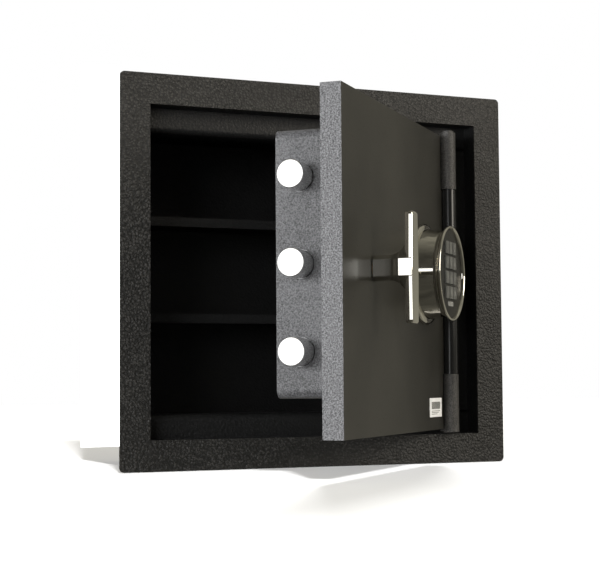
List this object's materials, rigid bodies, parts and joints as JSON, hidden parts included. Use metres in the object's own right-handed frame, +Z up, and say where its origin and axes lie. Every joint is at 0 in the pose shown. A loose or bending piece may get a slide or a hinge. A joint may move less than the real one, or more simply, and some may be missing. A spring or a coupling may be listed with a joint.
{
  "type": "wall safe",
  "caption": "Flush wall safe with a framed body, shelves, a swing door with round locking bolts, a T-handle and a round keypad lock; the door stands ajar.",
  "frame": {"origin": "centre of the flange's back face, in the wall plane", "axes": "+X right as seen from the front, +Y into the wall, +Z up; the door is on the -Y side and is drawn open by 46 degrees"},
  "size_m": [0.4154, 0.4633, 0.3822],
  "materials": {
    "charcoal_texture": "coarse leather-grain powder coat, satin",
    "black_texture": "coarse powder coat, satin",
    "hinge_paint": "coarse powder coat, satin",
    "steel": "plain",
    "black_gloss": "gloss",
    "door_paint": "fine satin",
    "grey_texture": "fine textured powder coat",
    "chrome": "polished",
    "handle_chrome": "polished",
    "zinc_case": "cast",
    "bronze": "plain",
    "black_plastic": "satin",
    "smoke_plastic": "gloss",
    "circuit_board": "matt",
    "cable_rubber": "matt",
    "label_white": "matt paper",
    "key_plastic": "satin"
  },
  "bodies": {
    "safe_body": {"front_flange": "charcoal_texture", "body_shell": "black_texture", "back_panel": "black_texture", "stop_top": "black_texture", "stop_bottom": "black_texture", "stop_latch": "black_texture", "stop_hinge": "black_texture", "shelf_upper": "black_texture", "shelf_lower": "black_texture", "ledges_left": "black_texture", "ledges_right": "black_texture", "hinge_upper": "hinge_paint", "hinge_lower": "hinge_paint", "hinge_pin_upper": "hinge_paint", "hinge_pin_lower": "hinge_paint"},
    "door": {"door_plate": "door_paint", "hinge_rod": "black_gloss", "boltwork_box": "grey_texture", "box_cover": "grey_texture", "cover_screws": "chrome", "bolt_guide": "steel", "lock_body": "zinc_case", "lock_screws": "steel", "spindle_bush": "bronze", "keypad_base": "handle_chrome", "keypad_housing": "handle_chrome", "keypad_panel": "black_plastic", "keypad_window": "smoke_plastic", "keypad_board": "circuit_board", "keypad_screws": "steel", "keypad_cable": "cable_rubber", "blank_label": "label_white"},
    "handle": {"t_handle": "handle_chrome", "spindle": "steel", "cam_plate": "steel", "cam_clip": "steel"},
    "bolts": {"bolt_bar": "steel", "bolt_upper": "chrome", "bolt_middle": "chrome", "bolt_lower": "chrome", "bolt_screws": "steel", "follower_pin": "steel"},
    "lock_slide": {"lock_bolt": "bronze"},
    "key_1_button": {"key_1": "key_plastic"},
    "key_2_button": {"key_2": "key_plastic"},
    "key_3_button": {"key_3": "key_plastic"},
    "key_4_button": {"key_4": "key_plastic"},
    "key_5_button": {"key_5": "key_plastic"},
    "key_6_button": {"key_6": "key_plastic"},
    "key_7_button": {"key_7": "key_plastic"},
    "key_8_button": {"key_8": "key_plastic"},
    "key_9_button": {"key_9": "key_plastic"},
    "key_star_button": {"key_star": "key_plastic"},
    "key_0_button": {"key_0": "key_plastic"},
    "key_hash_button": {"key_hash": "key_plastic"}
  },
  "joints": [
    {"name": "door_swing", "type": "hinge", "parent": "safe_body", "child": "door", "pos_m": [0.1434, -0.008, 0], "axis": [0, 0, 1], "range_deg": [-46, 74]},
    {"name": "handle_turn", "type": "hinge", "parent": "door", "child": "handle", "pos_m": [-0.02183, -0.17075, -0.0065], "axis": [-0.7193, 0.6947, 0], "range_deg": [0, 90]},
    {"name": "bolt_throw", "type": "slide", "parent": "door", "child": "bolts", "axis": [-0.6947, -0.7193, 0], "range_m": [0, 0.024]},
    {"name": "lock_throw", "type": "slide", "parent": "door", "child": "lock_slide", "axis": [0, 0, 1], "range_m": [0, 0.008]},
    {"name": "key_1_press", "type": "slide", "parent": "door", "child": "key_1_button", "axis": [-0.7193, 0.6947, 0], "range_m": [0, 0.0012], "stiffness_N_per_m": 900, "springref_m": -0.0006},
    {"name": "key_2_press", "type": "slide", "parent": "door", "child": "key_2_button", "axis": [-0.7193, 0.6947, 0], "range_m": [0, 0.0012], "stiffness_N_per_m": 900, "springref_m": -0.0006},
    {"name": "key_3_press", "type": "slide", "parent": "door", "child": "key_3_button", "axis": [-0.7193, 0.6947, 0], "range_m": [0, 0.0012], "stiffness_N_per_m": 900, "springref_m": -0.0006},
    {"name": "key_4_press", "type": "slide", "parent": "door", "child": "key_4_button", "axis": [-0.7193, 0.6947, 0], "range_m": [0, 0.0012], "stiffness_N_per_m": 900, "springref_m": -0.0006},
    {"name": "key_5_press", "type": "slide", "parent": "door", "child": "key_5_button", "axis": [-0.7193, 0.6947, 0], "range_m": [0, 0.0012], "stiffness_N_per_m": 900, "springref_m": -0.0006},
    {"name": "key_6_press", "type": "slide", "parent": "door", "child": "key_6_button", "axis": [-0.7193, 0.6947, 0], "range_m": [0, 0.0012], "stiffness_N_per_m": 900, "springref_m": -0.0006},
    {"name": "key_7_press", "type": "slide", "parent": "door", "child": "key_7_button", "axis": [-0.7193, 0.6947, 0], "range_m": [0, 0.0012], "stiffness_N_per_m": 900, "springref_m": -0.0006},
    {"name": "key_8_press", "type": "slide", "parent": "door", "child": "key_8_button", "axis": [-0.7193, 0.6947, 0], "range_m": [0, 0.0012], "stiffness_N_per_m": 900, "springref_m": -0.0006},
    {"name": "key_9_press", "type": "slide", "parent": "door", "child": "key_9_button", "axis": [-0.7193, 0.6947, 0], "range_m": [0, 0.0012], "stiffness_N_per_m": 900, "springref_m": -0.0006},
    {"name": "key_star_press", "type": "slide", "parent": "door", "child": "key_star_button", "axis": [-0.7193, 0.6947, 0], "range_m": [0, 0.0012], "stiffness_N_per_m": 900, "springref_m": -0.0006},
    {"name": "key_0_press", "type": "slide", "parent": "door", "child": "key_0_button", "axis": [-0.7193, 0.6947, 0], "range_m": [0, 0.0012], "stiffness_N_per_m": 900, "springref_m": -0.0006},
    {"name": "key_hash_press", "type": "slide", "parent": "door", "child": "key_hash_button", "axis": [-0.7193, 0.6947, 0], "range_m": [0, 0.0012], "stiffness_N_per_m": 900, "springref_m": -0.0006}
  ],
  "couplings": [
    {"joint": "bolt_throw", "follows": "handle_turn", "m_per_rad": 0.015279}
  ]
}
